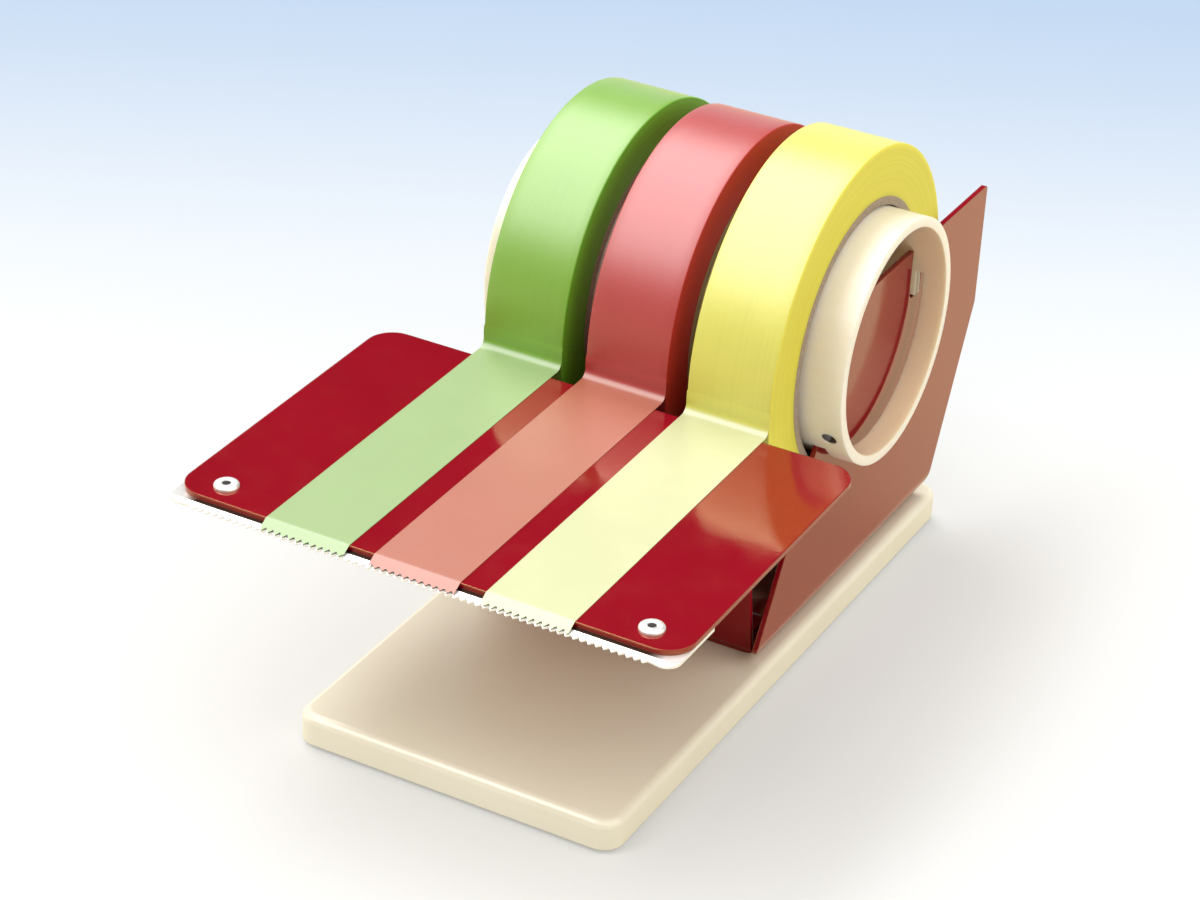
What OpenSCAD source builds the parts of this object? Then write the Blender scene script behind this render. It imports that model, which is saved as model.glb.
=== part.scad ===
// Multi-roll tape dispenser: three tape rolls hang on a slotted drum between two notched
// side panels, and their free ends lie over a flat table to a toothed blade.
// Millimetres. X runs along the drum, -Y is the blade side, +Z is up.
// The origin is the centre of the face that the dispenser stands on.

/* [Base] */
// Width of the base plate
base_w = 100; // [98:0.5:130]
// Length of the base plate
base_l = 212; // [200:1:260]
// Thickness of the base plate
base_t = 9; // [6:0.5:16]
// Radius of the base plate's upright corners
base_corner_r = 6; // [4:0.5:12]
// Radius along the base plate's top edge
base_edge_r = 2.5; // [0.5:0.25:4]
// Thickness of the non-slip pad under the base
pad_t = 1.5; // [1:0.25:4]
// How far the pad stays inside the base plate's edge
pad_inset = 2.5; // [1:0.5:8]

/* [Sheet metal] */
// Thickness of the painted sheet
sheet_t = 1.5; // [1:0.1:2.5]
// Inner radius of the bends beside the bracket's floor
bend_r = 6.5; // [1:0.25:8]
// Free width between a tape roll and a side panel
stack_gap = 1; // [0.5:0.1:3]
// Place of the tip where a panel's slanted front edge begins
tip_y = -19.6; // [-26:0.2:-17]
// Height of that tip above the base plate
tip_h = 6; // [4:0.5:12]
// Lean of the slanted front edge, from upright
front_lean = 30; // [24:0.5:32]
// Place of the panel's rear edge at the floor
rear_foot_y = 97; // [88:0.5:104]
// Place of the panel's upright rear edge
rear_y = 122.7; // [112:0.5:130]
// Height of the kink in the rear edge, above the base plate
kink_h = 57; // [40:1:66]
// Height of the panel's top above the drum's axis
panel_rise = 13.4; // [8:0.2:20]
// Depth of the notch below the drum's axis
notch_drop = 2.5; // [1:0.5:8]
// Free width behind the drum's wall in the notch
notch_clear = 1; // [0.5:0.1:3]
// Radius of the panel's outer corners
panel_corner_r = 1.5; // [0.5:0.25:4]

/* [Table and riser] */
// Width of the table
table_w = 150.5; // [130:0.5:190]
// Length of the table, from its rear edge to its front edge
table_l = 103.5; // [80:0.5:140]
// Height of the table's top at its rear edge, above the base plate
table_h = 74.7; // [66:0.1:80]
// Place of the table's rear edge
table_rear_y = -21.6; // [-26:0.2:-20]
// Fall of the table towards the blade
table_tilt = 1; // [0:0.25:3]
// Radius of the table's corners
table_corner_r = 8; // [4:0.5:20]
// Distance of the riser's foot behind the table's rear edge
riser_foot = 9.2; // [6:0.2:11]
// Forward lean of the riser, from upright
riser_lean = 10.6; // [4:0.2:14]
// Width of the riser's two flanges, along Y
riser_flange = 16; // [13:0.5:22]
// Inner radius of the riser's two bends
riser_bend_r = 0.5; // [0.3:0.1:1.5]
// Free width between the riser and each panel
riser_gap = 2.9; // [1:0.1:5]

/* [Blade] */
// Thickness of the blade
blade_t = 1; // [0.6:0.1:2]
// Depth of the blade, from its back edge to the tips of its teeth
blade_l = 22; // [16:0.5:35]
// How far the teeth stand out in front of the table
blade_out = 3.9; // [2:0.1:8]
// Width of the bevel ground along the teeth
bevel_w = 2.6; // [1:0.1:3.5]
// Thickness left at the tips of the teeth
edge_t = 0.4; // [0.2:0.1:0.6]
// Distance from tooth to tooth
tooth_pitch = 2.15; // [1.4:0.05:4]
// Depth of the teeth
tooth_d = 1.2; // [0.6:0.1:2]
// Plain length of blade outside the row of teeth
tooth_margin = 6.6; // [6:0.1:14]
// Radius of the blade's front corners
blade_corner_r = 4; // [2:0.5:6]
// Distance of each rivet inside the table's side edge
rivet_inset = 12; // [6:0.5:22]
// Distance of the rivets behind the table's front edge
rivet_y = 7.5; // [5:0.5:12]
// Diameter of a rivet's head
rivet_head_d = 7; // [5.5:0.25:9]
// Diameter of a rivet's shank
rivet_d = 4.4; // [3:0.2:5]
// Diameter of a rivet's hollow
rivet_bore_d = 2.2; // [1:0.1:2.6]

/* [Drum] */
// Outer radius of the drum
drum_r = 36.4; // [33:0.1:37.2]
// Wall of the drum
drum_wall = 3; // [2:0.1:5]
// Place of the drum's axis along Y
drum_y = 38; // [34:0.5:42]
// Height of the drum's axis above the base plate
drum_h = 82.9; // [78:0.1:95]
// Length of drum outside each panel
drum_over = 8.8; // [7:0.2:20]
// Free width of the drum's slots on each side of a panel
slot_clear = 1.3; // [0.4:0.1:2]
// Height of the narrow relief above the drum's axis, at the right slot's rear end
relief_rise = 6; // [2:0.5:10]
// Diameter of the hole in the drum's right end
drum_hole_d = 4.6; // [2:0.2:6]

/* [Tape] */
// Width of the tape and of its cores
tape_w = 25.4; // [12:0.1:30]
// Distance from roll to roll
roll_pitch = 33; // [28:0.5:40]
// Inner radius of a core
core_r = 38.1; // [37.6:0.1:39]
// Wall of a core
core_wall = 2.5; // [1.5:0.1:5]
// Outer radius of the green roll
green_r = 53.5; // [44:0.1:56]
// Outer radius of the salmon roll
salmon_r = 53.5; // [44:0.1:56]
// Outer radius of the yellow roll
yellow_r = 55.8; // [44:0.1:56]
// Thickness of a free length of tape
strip_t = 0.3; // [0.1:0.05:0.6]
// Radius of the bend where the tape meets its roll
strip_bend_r = 2.5; // [1:0.25:4]
// Distance of a cut tape end behind the tips of the teeth
strip_short = 0.2; // [0.1:0.1:1.5]

/* [Screws] */
// Diameter of the screws that hold the sheet metal to the base
screw_d = 4; // [3:0.5:5]
// Diameter of a screw's head
screw_head_d = 7.6; // [6:0.2:10]
// Height of a screw's head
screw_head_h = 2.4; // [1.5:0.1:3.5]
// Length of screw in the base plate
screw_grip = 6; // [3:0.5:7.5]
// Distance of each screw from the middle line
screw_x = 30; // [15:1:36]
// Place of the rear pair of screws
screw_rear_y = 84; // [60:1:88]
// Place of the middle pair of screws
screw_mid_y = 34; // [20:1:50]

/* [Hidden] */
$fn = 96;
// Gap between parts that bear on each other across a joint
fit_gap = 0.3;
// Clearance round a screw or rivet in its hole
hole_clear = 0.1;
base_top = pad_t + base_t;
floor_top = base_top + sheet_t;
inner_x = roll_pitch + tape_w / 2 + stack_gap;
outer_x = inner_x + sheet_t;
drum_z = base_top + drum_h;
drum_bore_r = drum_r - drum_wall;
// The drum lies pushed over to the right in its play
drum_x = slot_clear - fit_gap;
drum_l = 2 * (outer_x + drum_over);
drum_hole_x = drum_x + drum_l / 2 - 4.8;
drum_hole_angle = 210;
roll_z = drum_z - (core_r - drum_r - fit_gap);
panel_top = drum_z + panel_rise;
notch_y0 = drum_y + sqrt(pow(drum_bore_r, 2) - pow(panel_rise, 2)) - fit_gap;
notch_y1 = drum_y + drum_r + notch_clear;
notch_z = drum_z - notch_drop;
notch_r = 2;
table_z = base_top + table_h;
strip_front = table_l + blade_out - strip_short;
// Rear face of the riser at its foot
riser_y = table_rear_y + riser_foot;
riser_w = 2 * (inner_x - riser_gap);
foot_flange_w = 2 * (inner_x - bend_r - hole_clear);
riser_screw_y = riser_y + riser_flange / 2 + sheet_t;
// The bracket's floor begins just behind the riser
floor_front_y = riser_y + hole_clear;
rivet_x = table_w / 2 - rivet_inset;
drive_d = screw_head_d * 0.45;
drive_deep = screw_head_h * 0.5;

// Height-dependent place of the panel's slanted front edge
function front_edge_y(z) = tip_y + (z - base_top - tip_h) * tan(front_lean);
// Front of a roll of radius r at height z
function roll_front_y(r, z) = drum_y - sqrt(pow(r, 2) - pow(z - roll_z, 2));

function unit(v) = v / norm(v);
// Points of the arc of radius r that rounds the corner b between a and c
function corner_arc(a, b, c, r, steps = 6) =
    let (
        u = unit(a - b),
        v = unit(c - b),
        half = acos(u * v) / 2,
        m = b + unit(u + v) * r / sin(half),
        s = b + u * r / tan(half) - m,
        e = b + v * r / tan(half) - m,
        start = atan2(s.y, s.x),
        turn = (atan2(e.y, e.x) - start + 540) % 360 - 180
    )
    [for (i = [0 : steps]) m + r * [cos(start + turn * i / steps), sin(start + turn * i / steps)]];
// A closed outline whose every corner has the radius given beside it
function rounded(p, radii) =
    let (n = len(p))
    [for (i = [0 : n - 1])
        each radii[i] > 0 ? corner_arc(p[(i + n - 1) % n], p[i], p[(i + 1) % n], radii[i]) : [p[i]]];

// A profile drawn as (Y, Z) and given the width w along X
module along_x(w, x = 0) {
    translate([x, 0, 0])
        rotate([90, 0, 90])
            linear_extrude(w, center = true)
                children();
}

// A round bar or tube section standing along X
module x_cylinder(r, w, x, y, z) {
    translate([x, y, z])
        rotate([0, 90, 0])
            cylinder(r = r, h = w, center = true);
}

module both_sides(x) {
    for (side = [-1, 1])
        translate([side * x, 0, 0])
            children();
}

module rounded_rect(w, l, r) {
    square([w - 2 * r, l], center = true);
    square([w, l - 2 * r], center = true);
    for (x = [-1, 1], y = [-1, 1])
        translate([x * (w / 2 - r), y * (l / 2 - r)])
            circle(r);
}

// Half or whole section of a slab whose top edges are round
module soft_section(x0, x1, t, re, left = true) {
    translate([x0, 0])
        square([x1 - x0, t - re]);
    translate([left ? x0 + re : x0, 0])
        square([x1 - x0 - (left ? 2 : 1) * re, t]);
    translate([x1 - re, t - re])
        circle(re);
    if (left)
        translate([x0 + re, t - re])
            circle(re);
}

// A slab with round upright corners and a round top edge
module soft_slab(w, l, t, rc, re) {
    rotate([90, 0, 0])
        linear_extrude(l - 2 * rc, center = true)
            soft_section(-w / 2, w / 2, t, re);
    rotate([90, 0, 90])
        linear_extrude(w - 2 * rc, center = true)
            soft_section(-l / 2, l / 2, t, re);
    for (x = [-1, 1], y = [-1, 1])
        translate([x * (w / 2 - rc), y * (l / 2 - rc), 0])
            rotate_extrude()
                soft_section(0, rc, t, re, false);
}

module screw_hole(y, r) {
    both_sides(screw_x)
        translate([0, y, 0])
            cylinder(r = r, h = floor_top + 2 * sheet_t);
}

// A pair of pan-head screws whose heads bear on the height z
module screw_pair(y, z) {
    both_sides(screw_x)
        translate([0, y, z])
            difference() {
                union() {
                    translate([0, 0, -(z - base_top + screw_grip)])
                        cylinder(r = screw_d / 2, h = z - base_top + screw_grip + screw_head_h / 2);
                    rotate_extrude()
                        polygon(rounded([[0, 0], [screw_head_d / 2, 0], [screw_head_d / 2, screw_head_h],
                                         [0, screw_head_h]], [0, 0, screw_head_h * 0.45, 0]));
                }
                translate([0, 0, screw_head_h - drive_deep])
                    for (turn = [0, 90])
                        rotate([0, 0, turn])
                            translate([-drive_d / 2, -drive_d / 8, 0])
                                cube([drive_d, drive_d / 4, drive_deep + 1]);
            }
}

// Puts its children on the table: y = 0 is the rear edge, z = 0 the top face
module on_table() {
    translate([0, table_rear_y, table_z])
        rotate([table_tilt, 0, 0])
            children();
}

module rivet_hole() {
    both_sides(rivet_x)
        translate([0, rivet_y - table_l, -sheet_t - blade_t - 1])
            cylinder(r = rivet_d / 2 + hole_clear, h = sheet_t + blade_t + 2);
}

// Painted slab that carries everything
module base_plate() {
    color("ivory")
        difference() {
            translate([0, 0, pad_t])
                soft_slab(base_w, base_l, base_t, base_corner_r, base_edge_r);
            for (y = [riser_screw_y, screw_mid_y, screw_rear_y])
                both_sides(screw_x)
                    translate([0, y, base_top - screw_grip - 0.5])
                        cylinder(r = screw_d / 2 + hole_clear, h = screw_grip + 1);
        }
}

// Non-slip sheet under the base plate
module base_pad() {
    color("darkolivegreen")
        linear_extrude(pad_t)
            rounded_rect(base_w - 2 * pad_inset, base_l - 2 * pad_inset, base_corner_r - 1);
}

// Side view of a panel, with the rear notch that takes the drum's wall
module panel_outline() {
    top_front = [front_edge_y(panel_top), panel_top];
    difference() {
        polygon(rounded(
            [[floor_front_y, base_top], [tip_y, base_top + tip_h], top_front, [rear_y, panel_top],
             [rear_y, base_top + kink_h], [rear_foot_y, base_top]],
            [0, panel_corner_r, panel_corner_r, panel_corner_r, panel_corner_r, 0]));
        polygon(rounded(
            [[notch_y0, panel_top + 1], [notch_y0, notch_z], [notch_y1, notch_z], [notch_y1, panel_top + 1]],
            [0, notch_r, notch_r, 0]));
    }
}

// End view of the folded sheet: a floor and two upright sides
module channel_outline(x, r, z) {
    translate([-x + r, z])
        square([2 * (x - r), r]);
    translate([-x, z + r])
        square([2 * x, panel_top]);
    both_sides(x - r)
        translate([0, z + r])
            circle(r);
}

// One folded sheet: floor and both side panels, cut back in front for the riser
module bracket() {
    depth = rear_y - tip_y + 2;
    cut_w = riser_w + 2 * fit_gap;
    color("crimson")
        difference() {
            intersection() {
                translate([0, rear_y + 1, 0])
                    rotate([90, 0, 0])
                        linear_extrude(depth)
                            difference() {
                                channel_outline(outer_x, bend_r + sheet_t, base_top);
                                channel_outline(inner_x, bend_r, floor_top);
                            }
                along_x(2 * outer_x + 2)
                    panel_outline();
            }
            translate([-cut_w / 2, tip_y - 1, base_top - 1])
                cube([cut_w, floor_front_y - tip_y + 1, sheet_t + bend_r + 1]);
            for (y = [riser_screw_y, screw_mid_y, screw_rear_y])
                screw_hole(y, screw_d / 2 + hole_clear);
        }
}

module bracket_screws() {
    color("silver") {
        screw_pair(screw_mid_y, floor_top);
        screw_pair(screw_rear_y, floor_top);
    }
}

// Side view of the folded riser between the bracket's floor and the table
module riser_outline() {
    lean = [-sin(riser_lean), cos(riser_lean)];
    forward = [-cos(riser_lean), -sin(riser_lean)];
    flange_dir = [-cos(table_tilt), -sin(table_tilt)];
    flange_up = [-sin(table_tilt), cos(table_tilt)];
    outer_r = riser_bend_r + sheet_t;
    table_rear = [table_rear_y, table_z];
    foot = [riser_y, floor_top + sheet_t];
    start = foot + sheet_t * forward;
    // Bottom corner, corner under the head flange, and corner above it
    bottom = start + (floor_top - start.y) / lean.y * lean;
    under = start + ((table_rear - start) * flange_up - 2 * sheet_t) / (lean * flange_up) * lean;
    above = foot + ((table_rear - foot) * flange_up - sheet_t) / (lean * flange_up) * lean;
    end = under + riser_flange * flange_dir;
    polygon(rounded(
        [[riser_y + riser_flange, floor_top], bottom, under, end, end + sheet_t * flange_up,
         above, foot, [riser_y + riser_flange, foot.y]],
        [0, outer_r, riser_bend_r, 0, 0, outer_r, riser_bend_r, 0]));
}

// Leaning wall with a head flange under the table, and a foot flange on the bracket's floor
// that is narrower, to clear the bracket's bends
module riser() {
    color("firebrick")
        difference() {
            along_x(riser_w)
                riser_outline();
            both_sides((foot_flange_w + riser_w) / 2)
                translate([-riser_w / 2, riser_y, floor_top - 1])
                    cube([riser_w, riser_flange + 1, sheet_t + 2]);
            screw_hole(riser_screw_y, screw_d / 2 + hole_clear);
        }
}

module riser_screws() {
    color("silver")
        screw_pair(riser_screw_y, floor_top + sheet_t);
}

// Flat plate that the tape ends lie on
module table() {
    color("crimson")
        on_table()
            difference() {
                translate([0, -table_l / 2, -sheet_t])
                    linear_extrude(sheet_t)
                        rounded_rect(table_w, table_l, table_corner_r);
                rivet_hole();
            }
}

// Outline of the blade: y = 0 is the line through the tips of the teeth
module blade_outline() {
    half = table_w / 2;
    teeth = floor((table_w - 2 * tooth_margin) / tooth_pitch);
    start = -teeth * tooth_pitch / 2;
    left = corner_arc([-half, blade_l], [-half, tooth_d / 2], [start, tooth_d / 2], blade_corner_r);
    right = corner_arc([-start, tooth_d / 2], [half, tooth_d / 2], [half, blade_l], blade_corner_r);
    row = [for (i = [0 : teeth - 1]) each [
        [start + i * tooth_pitch, tooth_d],
        [start + (i + 0.5) * tooth_pitch, 0]]];
    polygon(concat([[-half, blade_l]], left, row, [[-start, tooth_d]], right, [[half, blade_l]]));
}

// Side view of the blade: y = 0 is the line through the tips, z = 0 the underside
module blade_section() {
    polygon([[0, 0], [0, edge_t], [bevel_w, blade_t], [blade_l, blade_t], [blade_l, 0]]);
}

// Toothed strip under the table's front edge, with a bevel ground along its teeth
module blade() {
    color("whitesmoke")
        on_table()
            difference() {
                translate([0, -table_l - blade_out, -sheet_t - blade_t])
                    intersection() {
                        linear_extrude(blade_t)
                            blade_outline();
                        along_x(table_w + 2)
                            blade_section();
                    }
                rivet_hole();
            }
}

// Tubular rivet: domed head on the table, rolled tail under the blade
module rivet(side) {
    head_h = rivet_head_d * 0.16;
    grip = sheet_t + blade_t;
    tail_d = rivet_d * 1.4;
    on_table()
        translate([side * rivet_x, rivet_y - table_l, 0])
            rotate_extrude()
                polygon(rounded(
                    [[rivet_bore_d / 2, head_h], [rivet_head_d / 2, head_h], [rivet_head_d / 2, 0],
                     [rivet_d / 2, 0], [rivet_d / 2, -grip], [tail_d / 2, -grip],
                     [tail_d / 2, -grip - head_h], [rivet_bore_d / 2, -grip - head_h]],
                    [0.2, head_h * 0.8, 0, 0, 0, 0, head_h * 0.8, 0.2]));
}

module rivet_left() {
    color("silver")
        rivet(-1);
}

module rivet_right() {
    color("silver")
        rivet(1);
}

// Side view of the slot that lets a panel into the drum's wall: its front end bears on the
// panel's slanted edge and its rear end on the bottom of the panel's notch
module slot_outline() {
    low = drum_z - drum_r - 1;
    high = notch_z + fit_gap;
    rear = drum_y + drum_r + 1;
    polygon([[front_edge_y(low) - fit_gap, low], [front_edge_y(high) - fit_gap, high], [rear, high], [rear, low]]);
}

// Tube that hangs on the panels through its two slots
module drum() {
    slot_x1 = drum_x + outer_x + slot_clear;
    relief_x0 = outer_x + fit_gap;
    color("linen")
        difference() {
            x_cylinder(drum_r, drum_l, drum_x, drum_y, drum_z);
            x_cylinder(drum_bore_r, drum_l + 2, drum_x, drum_y, drum_z);
            for (side = [-1, 1])
                along_x(sheet_t + 2 * slot_clear, drum_x + side * (inner_x + sheet_t / 2))
                    slot_outline();
            translate([relief_x0, drum_y, notch_z])
                cube([slot_x1 - relief_x0, drum_r + 1, relief_rise + notch_drop]);
            translate([drum_hole_x, drum_y, drum_z])
                rotate([drum_hole_angle, 0, 0])
                    rotate([-90, 0, 0])
                        cylinder(r = drum_hole_d / 2, h = drum_r + 1);
        }
}

module tube_on_drum(x, r_out, r_in) {
    difference() {
        x_cylinder(r_out, tape_w, x, drum_y, roll_z);
        x_cylinder(r_in, tape_w + 2, x, drum_y, roll_z);
    }
}

module core(place) {
    color("rosybrown")
        tube_on_drum(place * roll_pitch, core_r + core_wall, core_r);
}

module tape_roll(place, r) {
    tube_on_drum(place * roll_pitch, r, core_r + core_wall);
}

// Side view of a free length of tape, from its roll over the table to the blade
module strip_outline(r) {
    bend_top = roll_front_y(r, table_z + strip_bend_r) - fit_gap - table_rear_y;
    centre = [bend_top - strip_bend_r, strip_bend_r];
    inner = strip_bend_r - strip_t;
    steps = 8;
    // Slope down past the table's edge to the tips of the teeth
    tip = [-strip_front, -(sheet_t + blade_t - edge_t) * (strip_front - table_l) / blade_out];
    edge = [-table_l, 0];
    lift = [0, strip_t];
    polygon(concat(
        [tip, edge],
        [for (i = [0 : steps]) centre + strip_bend_r * [sin(80 * i / steps), -cos(80 * i / steps)]],
        [for (i = [steps : -1 : 0]) centre + inner * [sin(80 * i / steps), -cos(80 * i / steps)]],
        [edge + lift, tip + lift]));
}

module strip(place, r) {
    on_table()
        along_x(tape_w, place * roll_pitch)
            strip_outline(r);
}

module core_green() {
    core(-1);
}

module core_salmon() {
    core(0);
}

module core_yellow() {
    core(1);
}

module roll_green() {
    color("yellowgreen")
        tape_roll(-1, green_r);
}

module roll_salmon() {
    color("indianred")
        tape_roll(0, salmon_r);
}

module roll_yellow() {
    color("khaki")
        tape_roll(1, yellow_r);
}

module strip_green() {
    color("palegreen")
        strip(-1, green_r);
}

module strip_salmon() {
    color("lightsalmon")
        strip(0, salmon_r);
}

module strip_yellow() {
    color("lightyellow")
        strip(1, yellow_r);
}

base_plate();
base_pad();
bracket();
bracket_screws();
riser();
riser_screws();
table();
blade();
rivet_left();
rivet_right();
drum();
core_green();
core_salmon();
core_yellow();
roll_green();
roll_salmon();
roll_yellow();
strip_green();
strip_salmon();
strip_yellow();
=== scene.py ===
"""Looks of the multi-roll tape dispenser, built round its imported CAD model. Metres."""

import math

import bmesh
import bpy
from mathutils import Matrix, Vector


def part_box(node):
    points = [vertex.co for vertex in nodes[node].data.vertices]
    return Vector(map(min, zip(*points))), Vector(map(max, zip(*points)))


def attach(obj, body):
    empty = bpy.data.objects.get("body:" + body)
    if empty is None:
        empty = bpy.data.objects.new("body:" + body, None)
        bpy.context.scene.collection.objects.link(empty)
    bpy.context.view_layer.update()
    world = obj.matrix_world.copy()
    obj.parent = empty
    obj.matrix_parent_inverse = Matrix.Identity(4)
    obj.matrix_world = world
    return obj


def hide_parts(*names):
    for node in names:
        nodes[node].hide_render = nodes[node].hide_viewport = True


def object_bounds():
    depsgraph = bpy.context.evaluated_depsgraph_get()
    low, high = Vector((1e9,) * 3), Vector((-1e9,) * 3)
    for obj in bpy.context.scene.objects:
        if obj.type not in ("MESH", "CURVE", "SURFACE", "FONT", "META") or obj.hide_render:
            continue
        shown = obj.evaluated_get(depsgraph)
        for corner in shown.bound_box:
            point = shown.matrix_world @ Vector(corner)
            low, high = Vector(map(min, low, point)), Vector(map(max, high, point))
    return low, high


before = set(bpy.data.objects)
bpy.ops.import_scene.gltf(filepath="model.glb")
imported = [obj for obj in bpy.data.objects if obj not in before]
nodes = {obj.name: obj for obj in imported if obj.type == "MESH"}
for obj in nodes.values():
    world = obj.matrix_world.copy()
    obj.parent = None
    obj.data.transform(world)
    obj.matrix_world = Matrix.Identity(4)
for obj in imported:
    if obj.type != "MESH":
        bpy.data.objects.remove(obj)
cad_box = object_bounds()

MM = 0.001

# Sizes that the new pieces share with the CAD model
TABLE_TILT = math.radians(1.0)
TABLE_LENGTH = 103.5 * MM
BLADE_OUT = 3.9 * MM
BLADE_DROP = 2.1 * MM
STRIP_SHORT = 0.2 * MM
TOOTH_PITCH = 2.15 * MM
TOOTH_DEPTH = 1.2 * MM
TOOTH_ROW = 63
FILM = 0.14 * MM
FILM_GAP = 0.06 * MM
FILM_BEND = 2.5 * MM
DRUM_WALL = 3 * MM
SMALL_HOLE_FROM = 50.7 * MM
# Distances from the middle over which the blade's painted shade fades out towards its ends
BLADE_SHADE_FADE_FROM = 67 * MM
BLADE_SHADE_FADE_TO = 71 * MM

table_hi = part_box("table")[1]
drum_lo, drum_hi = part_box("drum")
core_lo, core_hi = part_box("core_salmon")
rivet_lo, rivet_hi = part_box("rivet_right")
TABLE_REAR_Y = table_hi.y
TABLE_TOP = table_hi.z
AXIS_Y = (drum_lo.y + drum_hi.y) / 2
DRUM_OUT = (drum_hi.y - drum_lo.y) / 2
DRUM_IN = DRUM_OUT - DRUM_WALL
RIVET_X = (rivet_lo.x + rivet_hi.x) / 2
RIVET_Y = (rivet_lo.y + rivet_hi.y) / 2
CORE_Z = (core_lo.z + core_hi.z) / 2
DRUM_Z = (drum_lo.z + drum_hi.z) / 2


# Shader helpers

def rgba(colour):
    return (*colour, 1.0) if len(colour) == 3 else colour


def srgb(r, g, b):
    """Linear colour of an sRGB colour given in 0 to 255."""
    def linear(value):
        value /= 255.0
        return value / 12.92 if value <= 0.04045 else ((value + 0.055) / 1.055) ** 2.4
    return (linear(r), linear(g), linear(b))


class Nodes:
    """A node tree, with short calls for the nodes that the materials and the light share."""

    def __init__(self, tree, coords):
        self.tree = tree
        self.coords = self.node("ShaderNodeTexCoord").outputs[coords]

    def node(self, kind, **settings):
        made = self.tree.nodes.new(kind)
        for name, value in settings.items():
            setattr(made, name, value)
        return made

    def put(self, socket, value):
        if isinstance(value, bpy.types.NodeSocket):
            self.tree.links.new(value, socket)
        else:
            socket.default_value = value

    def math(self, operation, a, b=0.0):
        made = self.node("ShaderNodeMath", operation=operation)
        self.put(made.inputs[0], a)
        self.put(made.inputs[1], b)
        return made.outputs[0]

    def axes(self, vector=None):
        made = self.node("ShaderNodeSeparateXYZ")
        self.put(made.inputs[0], self.coords if vector is None else vector)
        return made.outputs

    def vector(self, x, y, z):
        made = self.node("ShaderNodeCombineXYZ")
        for socket, value in zip(made.inputs, (x, y, z)):
            self.put(socket, value)
        return made.outputs[0]

    def range(self, value, low, high, to_low=0.0, to_high=1.0, smooth=False):
        kind = "SMOOTHSTEP" if smooth else "LINEAR"
        made = self.node("ShaderNodeMapRange", interpolation_type=kind)
        for socket, item in zip(made.inputs, (value, low, high, to_low, to_high)):
            self.put(socket, item)
        return made.outputs["Result"]

    def length(self, a, b):
        """Length of a flat vector with those two parts."""
        squares = self.math("ADD", self.math("MULTIPLY", a, a), self.math("MULTIPLY", b, b))
        return self.math("SQRT", squares)

    def mix(self, factor, a, b):
        """Blend of two colours. Inputs 6 and 7 and output 2 are the node's colour sockets."""
        made = self.node("ShaderNodeMix", data_type="RGBA")
        self.put(made.inputs["Factor"], factor)
        self.put(made.inputs[6], rgba(a) if isinstance(a, tuple) else a)
        self.put(made.inputs[7], rgba(b) if isinstance(b, tuple) else b)
        return made.outputs[2]


class Shader(Nodes):
    """A material with one surface shader and the textures that feed it."""

    def __init__(self, name):
        self.material = bpy.data.materials.new(name)
        self.material.use_nodes = True
        super().__init__(self.material.node_tree, "Object")
        self.surface = self.tree.nodes["Principled BSDF"]
        self.normal = None

    def set(self, **values):
        """Sets sockets of the surface shader: base_color becomes Base Color."""
        for name, value in values.items():
            socket = self.surface.inputs[name.replace("_", " ").title().replace("Ior", "IOR")]
            is_colour = isinstance(value, tuple) and socket.type == "RGBA"
            self.put(socket, rgba(value) if is_colour else value)

    def stretched(self, sx, sy, sz):
        made = self.node("ShaderNodeMapping")
        self.put(made.inputs["Vector"], self.coords)
        made.inputs["Scale"].default_value = (sx, sy, sz)
        return made.outputs[0]

    def noise(self, size, detail=2.0, roughness=0.5, vector=None):
        """Soft random value round 0.5, whose features are about that size, in metres."""
        made = self.node("ShaderNodeTexNoise")
        self.put(made.inputs["Vector"], self.coords if vector is None else vector)
        made.inputs["Scale"].default_value = 1.0 / size
        made.inputs["Detail"].default_value = detail
        made.inputs["Roughness"].default_value = roughness
        return made.outputs["Fac"]

    def facing(self):
        """Parts of the surface normal in the row frame's directions."""
        return self.axes(self.node("ShaderNodeNewGeometry").outputs["Normal"])

    def soft_edges(self, radius):
        made = self.node("ShaderNodeBevel", samples=6)
        made.inputs["Radius"].default_value = radius
        self.normal = made.outputs[0]
        self.put(self.surface.inputs["Normal"], self.normal)

    def bump(self, height, depth, strength=1.0):
        """Adds relief of that depth, in metres, where height goes from 0 to 1."""
        made = self.node("ShaderNodeBump")
        made.inputs["Strength"].default_value = strength
        made.inputs["Distance"].default_value = depth
        self.put(made.inputs["Height"], height)
        if self.normal is not None:
            self.put(made.inputs["Normal"], self.normal)
        self.normal = made.outputs[0]
        self.put(self.surface.inputs["Normal"], self.normal)


# Materials of the CAD nodes

def radius_here(m, centre_z):
    """Distance of a point from the axis along X at that height: the drum's or the rolls'."""
    _, y, z = m.axes()
    return m.length(m.math("SUBTRACT", y, AXIS_Y), m.math("SUBTRACT", z, centre_z))


def within(m, value, low, high, soft):
    """1 where the value lies between the limits, with soft borders."""
    up = m.range(value, low - soft, low + soft)
    down = m.range(value, high - soft, high + soft, 1.0, 0.0)
    return m.math("MULTIPLY", up, down)


def red_enamel(name, gloss):
    """Thick paint with a trace of orange peel."""
    m = Shader(name)
    m.soft_edges(0.5 * MM)
    cloud = m.range(m.noise(45 * MM, 3.0), 0.35, 0.65)
    m.set(base_color=m.mix(cloud, srgb(125, 8, 25), srgb(130, 10, 28)))
    m.set(roughness=m.range(m.noise(9 * MM, 4.0), 0.3, 0.7, 0.06, 0.13))
    m.set(specular_ior_level=gloss, specular_tint=(1.0, 0.76, 0.3))
    m.bump(m.noise(1.9 * MM, 1.5), 0.02 * MM, 0.5)
    m.bump(m.noise(0.6 * MM, 1.0), 0.003 * MM, 0.5)
    return m.material


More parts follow.
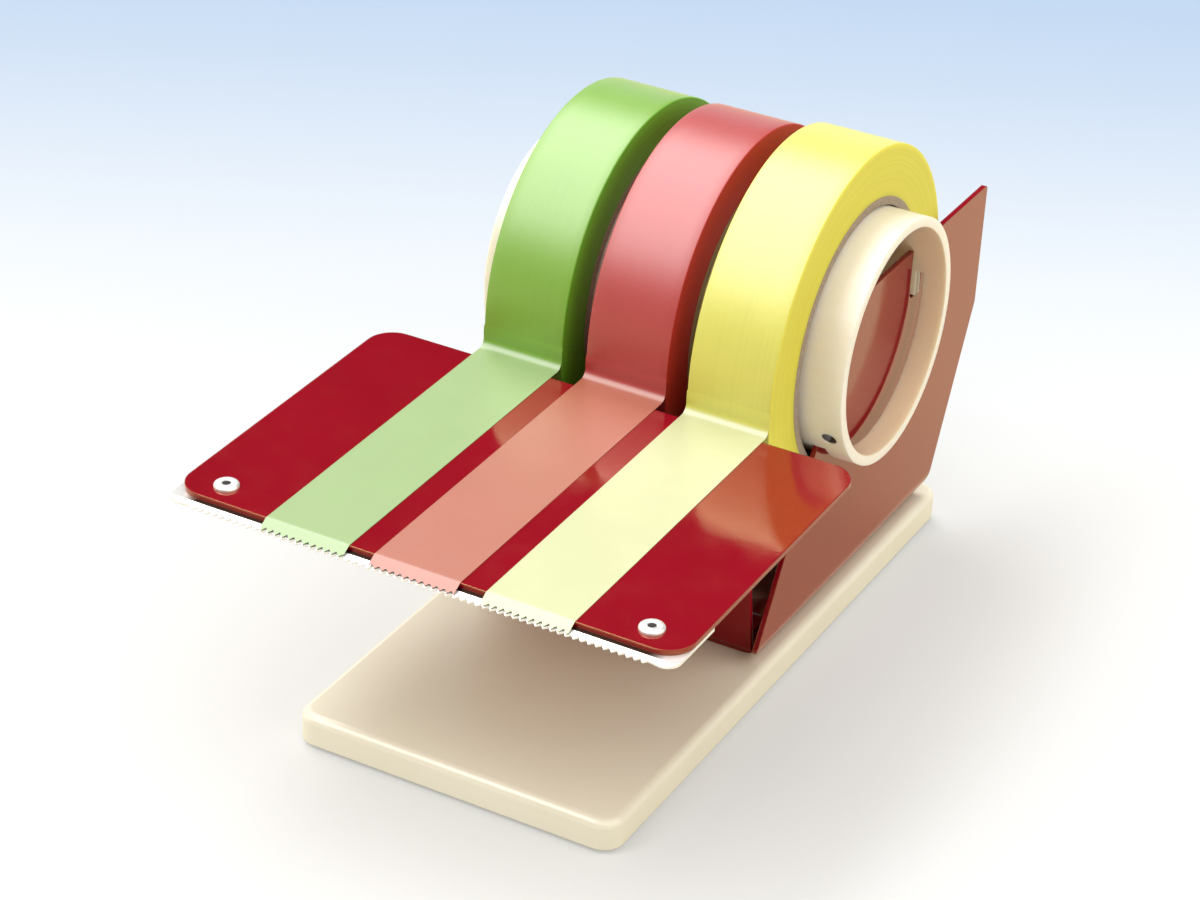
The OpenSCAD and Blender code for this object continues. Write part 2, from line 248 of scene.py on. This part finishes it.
def ivory_enamel():
    m = Shader("ivory_enamel")
    m.soft_edges(0.5 * MM)
    cloud = m.range(m.noise(60 * MM, 3.0), 0.35, 0.65)
    m.set(base_color=m.mix(cloud, srgb(223, 217, 196), srgb(227, 221, 201)))
    m.set(roughness=m.range(m.noise(12 * MM, 4.0), 0.3, 0.7, 0.3, 0.4))
    m.set(coat_weight=0.5, coat_roughness=0.15)
    m.bump(m.noise(2.4 * MM, 1.5), 0.015 * MM, 0.4)
    return m.material


def pad_rubber():
    m = Shader("pad_rubber")
    grain = m.noise(0.7 * MM, 3.0)
    m.set(base_color=m.mix(m.range(grain, 0.3, 0.7), srgb(38, 37, 34), srgb(62, 60, 55)), roughness=0.85)
    m.bump(grain, 0.15 * MM)
    return m.material


def blade_steel():
    """Spring steel with fine lines along the blade. Its flat top is coloured dark as painted shade under
    the table's edge; the ground bevel and the ends past the table's corners are bright.
    """
    m = Shader("blade_steel")
    m.soft_edges(0.1 * MM)
    # Painted shade: the flat top is dark brown-grey; the bevel, and the ends past the table's corners, get
    # the bright ground colour
    bevel = m.range(m.math("ABSOLUTE", m.facing()[1]), 0.08, 0.14)
    end = m.range(m.math("ABSOLUTE", m.axes()[0]), BLADE_SHADE_FADE_FROM, BLADE_SHADE_FADE_TO)
    bright = m.math("MAXIMUM", bevel, end)
    line = m.noise(0.12 * MM, 3.0, vector=m.stretched(0.03, 1.0, 1.0))
    stain = m.range(m.noise(8 * MM, 3.0), 0.4, 0.7)
    ground = m.mix(stain, srgb(240, 240, 238), srgb(228, 227, 224))
    m.set(base_color=m.mix(bright, srgb(84, 74, 72), ground))
    m.set(metallic=m.range(bright, 0.0, 1.0, 0.9, 0.5), roughness=m.range(line, 0.3, 0.7, 0.14, 0.24))
    m.bump(line, 0.006 * MM, 0.4)
    return m.material


def bright_steel(name, colour, dark):
    m = Shader(name)
    m.soft_edges(0.2 * MM)
    scratch = m.noise(0.25 * MM, 3.0, vector=m.stretched(1.0, 0.25, 1.0))
    m.set(base_color=m.mix(m.range(scratch, 0.4, 0.8), colour, dark))
    m.set(metallic=0.7, roughness=m.range(m.noise(1.2 * MM, 2.0), 0.3, 0.7, 0.28, 0.4))
    m.bump(scratch, 0.008 * MM, 0.4)
    return m


def rivet_steel():
    """Bright plated rivet whose bore is coloured near black as painted shade."""
    m = bright_steel("rivet_steel", srgb(240, 240, 240), srgb(206, 206, 204))
    plated = m.surface.inputs["Base Color"].links[0].from_socket
    x, y, _ = m.axes()
    dx = m.math("SUBTRACT", m.math("ABSOLUTE", x), RIVET_X)
    dy = m.math("SUBTRACT", y, RIVET_Y)
    # Painted shade: inside 1.3 mm of its axis the rivet is coloured near black
    m.set(base_color=m.mix(m.range(m.length(dx, dy), 0.95 * MM, 1.3 * MM), srgb(58, 54, 52), plated))
    return m.material


def drum_plastic():
    """Cream moulded tube with faint drawing lines along it. Painted shade: its bore is tinted tan, the
    walls of its cuts are dark brown and the wall of its small hole near black.
    """
    m = Shader("drum_plastic")
    m.soft_edges(0.6 * MM)
    cloud = m.range(m.noise(35 * MM, 2.0), 0.35, 0.65)
    streak = m.range(m.noise(2.2 * MM, 2.0, vector=m.stretched(0.04, 1.0, 1.0)), 0.35, 0.75)
    colour = m.mix(cloud, srgb(225, 218, 204), srgb(229, 222, 209))
    cut = within(m, radius_here(m, DRUM_Z), DRUM_IN + 0.3 * MM, DRUM_OUT - 0.3 * MM, 0.2 * MM)
    inner = m.range(m.math("ABSOLUTE", m.axes()[0]), drum_hi.x - 0.7 * MM, drum_hi.x - 0.5 * MM, 1.0, 0.0)
    # Painted shade: the inside of the tube is tinted tan
    bore = m.range(radius_here(m, DRUM_Z), DRUM_IN + 0.1 * MM, DRUM_IN + 0.3 * MM, 0.5, 0.0)
    bore_painted_shade = m.mix(bore, colour, srgb(226, 196, 146))
    streaked = m.mix(m.math("MULTIPLY", streak, 0.12), bore_painted_shade, srgb(214, 196, 160))
    # Painted shade in the cuts: dark brown on the walls of the slots, near black in the small hole
    in_hole = m.range(m.axes()[0], SMALL_HOLE_FROM - 0.1 * MM, SMALL_HOLE_FROM + 0.1 * MM)
    painted_shade_in_cuts = m.mix(in_hole, srgb(150, 124, 92), srgb(52, 42, 34))
    m.set(base_color=m.mix(m.math("MULTIPLY", cut, inner), streaked, painted_shade_in_cuts))
    m.set(roughness=m.range(streak, 0.0, 1.0, 0.3, 0.36), coat_weight=0.4, coat_roughness=0.3)
    m.set(subsurface_weight=0.6, subsurface_scale=1.0, subsurface_radius=(0.006, 0.0045, 0.003))
    m.bump(streak, 0.008 * MM, 0.4)
    return m.material


def core_board():
    """Spiral board, with its plies showing as rings in the end face."""
    m = Shader("core_board")
    fibre = m.noise(1.2 * MM, 5.0, 0.65)
    ply = m.math("FRACT", m.math("DIVIDE", radius_here(m, CORE_Z), 0.42 * MM))
    ply_line = m.range(ply, 0.0, 0.25, 1.0, 0.0)
    colour = m.mix(m.range(fibre, 0.3, 0.7), srgb(140, 124, 106), srgb(170, 154, 134))
    m.set(base_color=m.mix(m.math("MULTIPLY", ply_line, 0.4), colour, srgb(104, 90, 74)), roughness=0.9)
    m.bump(m.math("SUBTRACT", fibre, m.math("MULTIPLY", ply_line, 0.4)), 0.1 * MM, 0.6)
    return m.material


# Materials of the tape

FILM_GLOSS = dict(specular_ior_level=0.8, coat_roughness=0.34, coat_ior=1.6)


def film_colour(m, colour):
    """Printed film: faint lines round the roll and a soft change from place to place."""
    line = m.noise(1.5 * MM, 2.0, vector=m.vector(m.axes()[0], 0.0, 0.0))
    cloud = m.noise(14 * MM, 3.0)
    deep = tuple(c * 0.86 for c in colour)
    return m.mix(m.range(m.math("MULTIPLY", line, cloud), 0.18, 0.36, 0.0, 0.35), colour, deep), line


def wound_tape(name, colour, side, side_dark):
    """Film on a roll: the round face is glossy, and the side shows the edges of its layers."""
    m = Shader(name)
    is_side = m.range(m.math("ABSOLUTE", m.facing()[0]), 0.35, 0.6)
    r = m.vector(radius_here(m, CORE_Z), 0.0, 0.0)
    fine = m.noise(0.5 * MM, 4.0, 0.7, vector=r)
    wide = m.noise(3.2 * MM, 2.0, 0.6, vector=r)
    layer = m.math("ADD", m.math("MULTIPLY", fine, 0.6), m.math("MULTIPLY", wide, 0.4))
    face, line = film_colour(m, colour)
    m.set(base_color=m.mix(is_side, face, m.mix(m.range(layer, 0.36, 0.64), side_dark, side)))
    m.set(roughness=m.range(is_side, 0.0, 1.0, 0.56, 0.6), coat_weight=m.range(is_side, 0.0, 1.0, 1.0, 0.0))
    m.set(subsurface_weight=m.range(is_side, 0.0, 1.0, 0.0, 0.35), subsurface_scale=1.0)
    m.set(subsurface_radius=(0.004, 0.004, 0.004), **FILM_GLOSS)
    m.bump(m.mix(is_side, m.vector(line, line, line), m.vector(layer, layer, layer)), 0.012 * MM, 0.5)
    return m.material


def free_tape(name, colour, pale):
    """Film on the table, pale where it lies flat as a painted sheen, and as deep as its roll where it bends
    up.
    """
    m = Shader(name)
    on_roll = m.range(m.axes()[2], TABLE_TOP + 0.6 * MM, TABLE_TOP + 2.2 * MM, smooth=True)
    deep, line = film_colour(m, colour)
    cloud = m.range(m.noise(13 * MM, 3.0), 0.35, 0.65)
    # Painted sheen: the flat film is coloured paler than its roll's face, standing in for the sheen of film
    # lying flat
    flat = m.mix(cloud, pale, tuple(c * 0.96 for c in pale))
    m.set(base_color=m.mix(on_roll, flat, deep), roughness=0.56, coat_weight=1.0, **FILM_GLOSS)
    m.bump(line, 0.006 * MM, 0.5)
    return m.material


# Pieces

def dress(material, *names):
    for name in names:
        slots = nodes[name].material_slots
        for slot in slots:
            slot.material = material
        if not slots:
            nodes[name].data.materials.append(material)


def smooth(mesh, angle=math.radians(30)):
    mesh.polygons.foreach_set("use_smooth", [True] * len(mesh.polygons))
    mesh.set_sharp_from_angle(angle=angle)


def new_piece(name, points, faces, material, body, slot, *stands_for):
    mesh = bpy.data.meshes.new(name)
    mesh.from_pydata(points, [], faces)
    mesh.update()
    tool = bmesh.new()
    tool.from_mesh(mesh)
    bmesh.ops.recalc_face_normals(tool, faces=tool.faces)
    tool.to_mesh(mesh)
    tool.free()
    smooth(mesh)
    piece = bpy.data.objects.new(name, mesh)
    bpy.context.scene.collection.objects.link(piece)
    mesh.materials.append(material)
    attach(piece, body)
    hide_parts(*stands_for)
    return piece


def ripple(k, seed):
    """A steady pseudo-random value from -1 to 1 for layer k."""
    return math.sin(k * 12.9898 + seed * 78.233) * math.cos(k * 4.1414 + seed * 1.7)


def wound_roll(colour, seed, material):
    """A roll whose side faces step in and out a little from layer to layer."""
    lo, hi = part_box("roll_" + colour)
    r_in = (core_hi.z - core_lo.z) / 2
    r_out = (hi.z - lo.z) / 2
    centre_z = (lo.z + hi.z) / 2
    edge = 0.35 * MM
    sunk = 0.06 * MM
    uneven = 0.05 * MM
    layers = 34
    turns = 240
    width = 8
    right = []
    for k in range(layers + 1):
        r = r_in + (r_out - edge - r_in) * k / layers
        right.append((hi.x - sunk - uneven * ripple(k, seed), r))
    for a in (30, 60, 90):
        turn = math.radians(a)
        x = hi.x - sunk - edge * (1 - math.cos(turn))
        right.append((x, r_out - edge * (1 - math.sin(turn))))
    inset = hi.x - right[-1][0]
    flat = hi.x - lo.x - 2 * inset
    top = [(hi.x - inset - flat * i / width, r_out) for i in range(1, width)]
    left = [(lo.x + hi.x - x, r) for x, r in reversed(right)]
    profile = right + top + left
    points = []
    for i in range(turns):
        a = 2 * math.pi * i / turns
        points += [(x, AXIS_Y + r * math.cos(a), centre_z + r * math.sin(a)) for x, r in profile]
    n = len(profile)
    faces = []
    for i in range(turns):
        j = (i + 1) % turns
        faces += [(i * n + k, i * n + (k + 1) % n, j * n + (k + 1) % n, j * n + k) for k in range(n)]
    return new_piece("wound_" + colour, points, faces, material,
                     colour + "_roll", "tape_" + colour, "roll_" + colour)


def on_table(y, z):
    """Row-frame place of a point given from the table's rear edge and top face."""
    c, s = math.cos(TABLE_TILT), math.sin(TABLE_TILT)
    return (TABLE_REAR_Y + y * c - z * s, TABLE_TOP + y * s + z * c)


def tooth_line(x):
    """How far the blade's edge lies behind the tips of its teeth at x."""
    phase = (x / TOOTH_PITCH + TOOTH_ROW / 2) % 1.0
    return TOOTH_DEPTH * abs(2 * phase - 1)


def film_path(roll_r, roll_z):
    """The film's upper face from the teeth over the table and up its roll, with its thickness."""
    lift = FILM + FILM_GAP
    flat_lift = lift + 0.02 * MM
    slope = BLADE_DROP / BLADE_OUT
    path = []
    for out in (BLADE_OUT - STRIP_SHORT, 3.0 * MM, 2.1 * MM, 1.3 * MM, 0.7 * MM, 0.25 * MM):
        path.append(on_table(-TABLE_LENGTH - out, lift + 0.05 * MM - slope * out))
    path.append(on_table(-TABLE_LENGTH, lift))
    path.append(on_table(-TABLE_LENGTH + 0.6 * MM, flat_lift))
    skin = roll_r + FILM_GAP + FILM
    flat_z = TABLE_TOP + flat_lift
    angle = math.asin((flat_z + FILM_BEND - roll_z) / skin)
    rear_y = AXIS_Y - skin * math.cos(angle) - FILM_BEND
    start = on_table(-TABLE_LENGTH + 1.6 * MM, flat_lift)
    steps = 44
    bend_steps = 8
    for i in range(steps + 1):
        t = i / steps
        path.append((start[0] + (rear_y - start[0]) * t, start[1] + (flat_z - start[1]) * t))
    for i in range(1, bend_steps + 1):
        a = math.radians(90 * i / bend_steps)
        path.append((rear_y + FILM_BEND * math.sin(a), flat_z + FILM_BEND * (1 - math.cos(a))))
    thick = [FILM] * len(path)
    climb = 8
    for i in range(1, climb + 1):
        a = angle * (1 - i / climb)
        fade = max(0.0, (i - climb / 2) / (climb / 2))
        r = skin - (FILM + 0.05 * MM) * fade
        path.append((AXIS_Y - r * math.cos(a), roll_z + r * math.sin(a)))
        thick.append(FILM * (1 - 0.9 * fade))
    return path, thick


def free_strip(colour, seed, material):
    """Film from the teeth over the table and up against its roll, with a toothed cut end.

    It waves a little between its still rows: the first ones by the blade, the last by the roll.
    """
    lo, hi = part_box("strip_" + colour)
    roll_lo, roll_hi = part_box("roll_" + colour)
    path, thick = film_path((roll_hi.z - roll_lo.z) / 2, (roll_hi.z + roll_lo.z) / 2)
    rows = len(path)
    columns = int(round((hi.x - lo.x) / (TOOTH_PITCH / 4)))
    slope = BLADE_DROP / BLADE_OUT
    first, last = 9, rows - 20
    wave_height = 0.04 * MM
    wave_x, wave_y = 310, 95
    cut_fade = 2.0 * MM
    points = []
    for under in (0, 1):
        for j, (y, z) in enumerate(path):
            before, after = path[max(j - 1, 0)], path[min(j + 1, rows - 1)]
            along = Vector((after[0] - before[0], after[1] - before[1])).normalized()
            deep = thick[j] * under
            cut_share = max(0.0, 1 - (y - path[0][0]) / cut_fade)
            waves = math.sin(math.pi * (j - first) / (last - first)) if first < j < last else 0.0
            for i in range(columns + 1):
                x = lo.x + (hi.x - lo.x) * i / columns
                cut = tooth_line(x) * cut_share
                wave = wave_height * waves * math.sin(x * wave_x + seed)
                wave *= math.sin(y * wave_y + seed * 2.3)
                points.append((x, y + cut + along.y * deep, z + cut * slope + wave - along.x * deep))
    per = columns + 1
    total = per * rows
    faces = []
    for o in (0, total):
        for j in range(rows - 1):
            for i in range(columns):
                a = o + j * per + i
                faces.append((a, a + 1, a + per + 1, a + per))
    for j in range(rows - 1):
        for i in (0, columns):
            a = j * per + i
            faces.append((a, a + per, a + per + total, a + total))
    for j in (0, rows - 1):
        for i in range(columns):
            a = j * per + i
            faces.append((a, a + 1, a + 1 + total, a + total))
    return new_piece("film_" + colour, points, faces, material,
                     "stand", "tape_" + colour, "strip_" + colour)


# The object

for name in nodes:
    smooth(nodes[name].data)

dress(red_enamel("table_enamel", 1.0), "table")
dress(red_enamel("bracket_enamel", 0.9), "bracket")
dress(red_enamel("riser_enamel", 0.3), "riser")
dress(ivory_enamel(), "base_plate")
dress(pad_rubber(), "base_pad")
dress(blade_steel(), "blade")
dress(rivet_steel(), "rivet_left", "rivet_right")
screw_steel = bright_steel("screw_steel", srgb(206, 206, 204), srgb(170, 168, 164)).material
dress(screw_steel, "bracket_screws", "riser_screws")
dress(drum_plastic(), "drum")
dress(core_board(), "core_green", "core_salmon", "core_yellow")

# pale is each flat film's colour, paler than its roll's face as a painted sheen
LOOKS = {
    "green": dict(face=(0.155, 0.34, 0.012), side=srgb(100, 172, 10), side_dark=srgb(80, 140, 6),
                  pale=(0.22, 0.335, 0.115)),
    "salmon": dict(face=(0.37, 0.018, 0.016), side=srgb(190, 20, 22), side_dark=srgb(150, 8, 18),
                   pale=(0.345, 0.085, 0.04)),
    "yellow": dict(face=(0.6, 0.58, 0.085), side=srgb(214, 206, 60), side_dark=srgb(196, 186, 40),
                   pale=(0.47, 0.49, 0.26)),
}

for seed, (colour, look) in enumerate(LOOKS.items()):
    wound = wound_tape("wound_" + colour, look["face"], look["side"], look["side_dark"])
    wound_roll(colour, seed, wound)
    free_strip(colour, seed, free_tape("film_" + colour, look["face"], look["pale"]))


# Floor, light and camera

# The camera was fitted to edges in the photo: its direction, place in metres and lens
AZIMUTH, ELEVATION, ROLL = (math.radians(v) for v in (27.49, 29.65, 2.93))
CAMERA_PLACE = (0.3636, -0.7274, 0.5202)
LENS_MM = 98.23
SENSOR_MM = 36.0

# Strengths of the light
STRONG = 4.9
WIDE = 1.88
FILL = 1.85
BACK = 0.85
ALL_ROUND = 0.03


def to_the_back(m, x, y):
    """How far a place or a direction lies towards the back of the photo, seen from above."""
    along_y = m.math("MULTIPLY", y, math.cos(AZIMUTH))
    along_x = m.math("MULTIPLY", x, math.sin(AZIMUTH))
    return m.math("SUBTRACT", along_y, along_x)


def floor_material():
    """Pale sweep, blue far off, that glows a little to keep shadows faint. Gloss sees it warmer."""
    m = Shader("floor")
    x, y, _ = m.axes()
    far = m.range(to_the_back(m, x, y), 0.0, 0.56, smooth=True)
    tint = m.mix(far, srgb(248, 248, 246), srgb(180, 201, 227))
    seen = m.mix(m.node("ShaderNodeLightPath").outputs["Is Glossy Ray"], tint, srgb(246, 234, 200))
    m.set(base_color=m.mix(0.57, seen, (0.0, 0.0, 0.0)), roughness=0.9, specular_ior_level=0.0)
    m.set(emission_color=seen, emission_strength=0.34)
    return m.material


def make_floor():
    mesh = bpy.data.meshes.new("floor")
    reach = 6.0
    corners = [(-reach, -reach, 0), (reach, -reach, 0), (reach, reach, 0), (-reach, reach, 0)]
    mesh.from_pydata(corners, [], [(0, 1, 2, 3)])
    floor = bpy.data.objects.new("floor", mesh)
    bpy.context.scene.collection.objects.link(floor)
    floor.location.z = cad_box[0].z - 0.02 * MM
    mesh.materials.append(floor_material())


def make_world():
    """Studio light by direction, all of it fixed to the room.

    One long soft box from the front over the top, strongest left of the middle, warm fill at both
    sides and a low cool band at the back. The pale blue backdrop is seen by the camera only.
    """
    world = bpy.data.worlds.new("studio")
    bpy.context.scene.world = world
    world.use_nodes = True
    w = Nodes(world.node_tree, "Generated")
    x, y, z = w.axes()
    over = w.math("ARCTAN2", z, w.math("MULTIPLY", y, -1.0))
    front = w.range(over, math.radians(24), math.radians(45), smooth=True)
    rear = w.range(over, math.radians(116), math.radians(142), 1.0, 0.0, smooth=True)
    overhead = w.math("MULTIPLY", front, rear)
    strong = w.range(w.math("ABSOLUTE", w.math("ADD", x, 0.4)), 0.06, 0.2, 1.0, 0.0, smooth=True)
    wide = w.range(w.math("ABSOLUTE", x), 0.55, 0.85, 1.0, 0.0, smooth=True)
    beside = w.range(w.math("ABSOLUTE", x), 0.55, 0.85, smooth=True)
    fill = w.math("MULTIPLY", beside, w.range(z, 0.0, 0.2, smooth=True))
    back = w.range(over, math.radians(154), math.radians(164), 0.0, BACK, smooth=True)
    far = w.range(to_the_back(w, x, y), 0.0, 0.09, smooth=True)
    sky = w.mix(far, srgb(255, 255, 255), srgb(192, 213, 239))
    parts = ((w.math("MULTIPLY", w.math("MULTIPLY", overhead, strong), STRONG), (1.0, 1.0, 1.0)),
             (w.math("MULTIPLY", w.math("MULTIPLY", overhead, wide), WIDE), (1.0, 1.0, 1.0)),
             (w.math("MULTIPLY", fill, FILL), (1.0, 0.9, 0.73)),
             (back, (0.86, 0.93, 1.0)),
             (ALL_ROUND, (1.0, 0.97, 0.9)),
             (w.node("ShaderNodeLightPath").outputs["Is Camera Ray"], sky))
    light = None
    for strength, colour in parts:
        background = w.node("ShaderNodeBackground")
        w.put(background.inputs["Color"], rgba(colour) if isinstance(colour, tuple) else colour)
        w.put(background.inputs["Strength"], strength)
        if light is None:
            light = background.outputs[0]
        else:
            both = w.node("ShaderNodeAddShader")
            w.put(both.inputs[0], light)
            w.put(both.inputs[1], background.outputs[0])
            light = both.outputs[0]
    w.put(w.tree.nodes["World Output"].inputs["Surface"], light)


def make_camera():
    data = bpy.data.cameras.new("camera")
    data.sensor_width = SENSOR_MM
    data.lens = LENS_MM
    camera = bpy.data.objects.new("camera", data)
    bpy.context.scene.collection.objects.link(camera)
    flat = math.cos(ELEVATION)
    back = Vector((math.sin(AZIMUTH) * flat, -math.cos(AZIMUTH) * flat, math.sin(ELEVATION)))
    right = (-back).cross(Vector((0, 0, 1))).normalized()
    up = right.cross(-back)
    x = right * math.cos(ROLL) + up * math.sin(ROLL)
    y = -right * math.sin(ROLL) + up * math.cos(ROLL)
    turned = Matrix((x, y, back)).transposed().to_4x4()
    camera.matrix_world = Matrix.Translation(CAMERA_PLACE) @ turned
    bpy.context.scene.camera = camera


make_floor()
make_world()
make_camera()
bpy.context.scene.view_settings.view_transform = "Standard"
